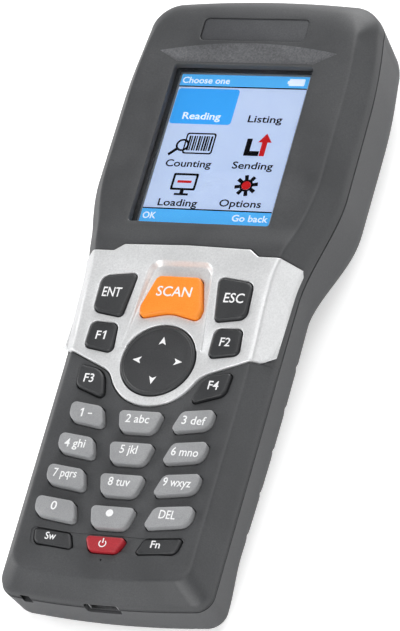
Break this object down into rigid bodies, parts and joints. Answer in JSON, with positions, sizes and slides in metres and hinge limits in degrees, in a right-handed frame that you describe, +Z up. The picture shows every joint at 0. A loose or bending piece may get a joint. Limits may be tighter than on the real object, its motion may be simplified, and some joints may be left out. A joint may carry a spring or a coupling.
{
  "type": "portable barcode data terminal",
  "caption": "Hand-held barcode data terminal with a small display, push keys, a rocking pad, a scan window in the head and a tip-out battery cover.",
  "frame": {"origin": "middle of the bounding box, on the surface that the terminal lies on with its face up", "axes": "+X to the right across the face, +Y from the tail to the head, +Z up out of the face, which leans back by 4.5 degrees"},
  "size_m": [0.0668, 0.1699, 0.0347],
  "materials": {
    "housing_plastic": "fine matt moulded texture",
    "silver_paint": "silver metallic paint, satin",
    "clear_window": "clear, polished",
    "display": "lit colour display",
    "gasket_foam": "matt black foam",
    "frame_white": "satin white",
    "badge_plastic": "satin dark grey",
    "key_grey": "smooth grey silicone",
    "key_black": "smooth black silicone",
    "key_orange": "orange silicone",
    "key_red": "red silicone",
    "mat_silicone": "translucent silicone",
    "dome_metal": "bare spring metal",
    "board_green": "solder mask",
    "steel": "plain",
    "black_steel": "black zinc",
    "window_red": "dark red, polished",
    "engine_grey": "black anodised",
    "lens_glass": "coated lens",
    "battery_blue": "wrapped cell, satin",
    "gold_contact": "gold plated",
    "speaker_black": "matt"
  },
  "bodies": {
    "housing": {"front_shell": "housing_plastic", "rear_shell": "housing_plastic", "silver_panel": "silver_paint", "screen_lens": "clear_window", "screen_gasket": "gasket_foam", "lcd_panel": "display", "lcd_frame": "frame_white", "badge_plate": "badge_plastic", "keypad_mat": "mat_silicone", "dome_switches": "dome_metal", "main_board": "board_green", "usb_socket": "steel", "scan_window": "window_red", "engine_body": "engine_grey", "engine_lens": "lens_glass", "engine_bracket": "steel", "battery": "battery_blue", "battery_contacts": "gold_contact", "speaker": "speaker_black", "board_screws": "steel", "case_screws": "black_steel"},
    "key_scan": {"key_scan": "key_orange"},
    "key_enter": {"key_enter": "key_black"},
    "key_escape": {"key_escape": "key_black"},
    "key_f1": {"key_f1": "key_black"},
    "key_f2": {"key_f2": "key_black"},
    "key_f3": {"key_f3": "key_black"},
    "key_f4": {"key_f4": "key_black"},
    "key_0": {"key_0": "key_grey"},
    "key_1": {"key_1": "key_grey"},
    "key_2": {"key_2": "key_grey"},
    "key_3": {"key_3": "key_grey"},
    "key_4": {"key_4": "key_grey"},
    "key_5": {"key_5": "key_grey"},
    "key_6": {"key_6": "key_grey"},
    "key_7": {"key_7": "key_grey"},
    "key_8": {"key_8": "key_grey"},
    "key_9": {"key_9": "key_grey"},
    "key_dot": {"key_dot": "key_grey"},
    "key_delete": {"key_delete": "key_grey"},
    "key_switch": {"key_switch": "key_black"},
    "key_power": {"key_power": "key_red"},
    "key_function": {"key_function": "key_black"},
    "navigation_pivot": {"navigation_pivot": "steel"},
    "navigation_key": {"navigation_key": "key_black"},
    "battery_cover": {"battery_cover": "housing_plastic"}
  },
  "joints": [
    {"name": "key_scan_press", "type": "slide", "parent": "housing", "child": "key_scan", "axis": [0, 0.0785, -0.9969], "range_m": [0, 0.0007], "stiffness_N_per_m": 1500, "springref_m": -0.0005},
    {"name": "key_enter_press", "type": "slide", "parent": "housing", "child": "key_enter", "axis": [0, 0.0785, -0.9969], "range_m": [0, 0.0007], "stiffness_N_per_m": 1500, "springref_m": -0.0005},
    {"name": "key_escape_press", "type": "slide", "parent": "housing", "child": "key_escape", "axis": [0, 0.0785, -0.9969], "range_m": [0, 0.0007], "stiffness_N_per_m": 1500, "springref_m": -0.0005},
    {"name": "key_f1_press", "type": "slide", "parent": "housing", "child": "key_f1", "axis": [0, 0.0785, -0.9969], "range_m": [0, 0.0007], "stiffness_N_per_m": 1500, "springref_m": -0.0005},
    {"name": "key_f2_press", "type": "slide", "parent": "housing", "child": "key_f2", "axis": [0, 0.0785, -0.9969], "range_m": [0, 0.0007], "stiffness_N_per_m": 1500, "springref_m": -0.0005},
    {"name": "key_f3_press", "type": "slide", "parent": "housing", "child": "key_f3", "axis": [0, 0.0785, -0.9969], "range_m": [0, 0.0007], "stiffness_N_per_m": 1500, "springref_m": -0.0005},
    {"name": "key_f4_press", "type": "slide", "parent": "housing", "child": "key_f4", "axis": [0, 0.0785, -0.9969], "range_m": [0, 0.0007], "stiffness_N_per_m": 1500, "springref_m": -0.0005},
    {"name": "key_0_press", "type": "slide", "parent": "housing", "child": "key_0", "axis": [0, 0.0785, -0.9969], "range_m": [0, 0.0007], "stiffness_N_per_m": 1500, "springref_m": -0.0005},
    {"name": "key_1_press", "type": "slide", "parent": "housing", "child": "key_1", "axis": [0, 0.0785, -0.9969], "range_m": [0, 0.0007], "stiffness_N_per_m": 1500, "springref_m": -0.0005},
    {"name": "key_2_press", "type": "slide", "parent": "housing", "child": "key_2", "axis": [0, 0.0785, -0.9969], "range_m": [0, 0.0007], "stiffness_N_per_m": 1500, "springref_m": -0.0005},
    {"name": "key_3_press", "type": "slide", "parent": "housing", "child": "key_3", "axis": [0, 0.0785, -0.9969], "range_m": [0, 0.0007], "stiffness_N_per_m": 1500, "springref_m": -0.0005},
    {"name": "key_4_press", "type": "slide", "parent": "housing", "child": "key_4", "axis": [0, 0.0785, -0.9969], "range_m": [0, 0.0007], "stiffness_N_per_m": 1500, "springref_m": -0.0005},
    {"name": "key_5_press", "type": "slide", "parent": "housing", "child": "key_5", "axis": [0, 0.0785, -0.9969], "range_m": [0, 0.0007], "stiffness_N_per_m": 1500, "springref_m": -0.0005},
    {"name": "key_6_press", "type": "slide", "parent": "housing", "child": "key_6", "axis": [0, 0.0785, -0.9969], "range_m": [0, 0.0007], "stiffness_N_per_m": 1500, "springref_m": -0.0005},
    {"name": "key_7_press", "type": "slide", "parent": "housing", "child": "key_7", "axis": [0, 0.0785, -0.9969], "range_m": [0, 0.0007], "stiffness_N_per_m": 1500, "springref_m": -0.0005},
    {"name": "key_8_press", "type": "slide", "parent": "housing", "child": "key_8", "axis": [0, 0.0785, -0.9969], "range_m": [0, 0.0007], "stiffness_N_per_m": 1500, "springref_m": -0.0005},
    {"name": "key_9_press", "type": "slide", "parent": "housing", "child": "key_9", "axis": [0, 0.0785, -0.9969], "range_m": [0, 0.0007], "stiffness_N_per_m": 1500, "springref_m": -0.0005},
    {"name": "key_dot_press", "type": "slide", "parent": "housing", "child": "key_dot", "axis": [0, 0.0785, -0.9969], "range_m": [0, 0.0007], "stiffness_N_per_m": 1500, "springref_m": -0.0005},
    {"name": "key_delete_press", "type": "slide", "parent": "housing", "child": "key_delete", "axis": [0, 0.0785, -0.9969], "range_m": [0, 0.0007], "stiffness_N_per_m": 1500, "springref_m": -0.0005},
    {"name": "key_switch_press", "type": "slide", "parent": "housing", "child": "key_switch", "axis": [0, 0.0785, -0.9969], "range_m": [0, 0.0007], "stiffness_N_per_m": 1500, "springref_m": -0.0005},
    {"name": "key_power_press", "type": "slide", "parent": "housing", "child": "key_power", "axis": [0, 0.0785, -0.9969], "range_m": [0, 0.0007], "stiffness_N_per_m": 1500, "springref_m": -0.0005},
    {"name": "key_function_press", "type": "slide", "parent": "housing", "child": "key_function", "axis": [0, 0.0785, -0.9969], "range_m": [0, 0.0007], "stiffness_N_per_m": 1500, "springref_m": -0.0005},
    {"name": "navigation_up_down", "type": "hinge", "parent": "housing", "child": "navigation_pivot", "pos_m": [0, -0.02302, 0.02364], "axis": [1, 0, 0], "range_deg": [-3, 3], "stiffness_Nm_per_rad": 0.25},
    {"name": "navigation_left_right", "type": "hinge", "parent": "navigation_pivot", "child": "navigation_key", "pos_m": [0, -0.02302, 0.02364], "axis": [0, 0.9969, 0.0785], "range_deg": [-3, 3], "stiffness_Nm_per_rad": 0.25},
    {"name": "battery_cover_hinge", "type": "hinge", "parent": "housing", "child": "battery_cover", "pos_m": [0, -0.00881, 0.00305], "axis": [1, 0, 0], "range_deg": [0, 60]}
  ]
}
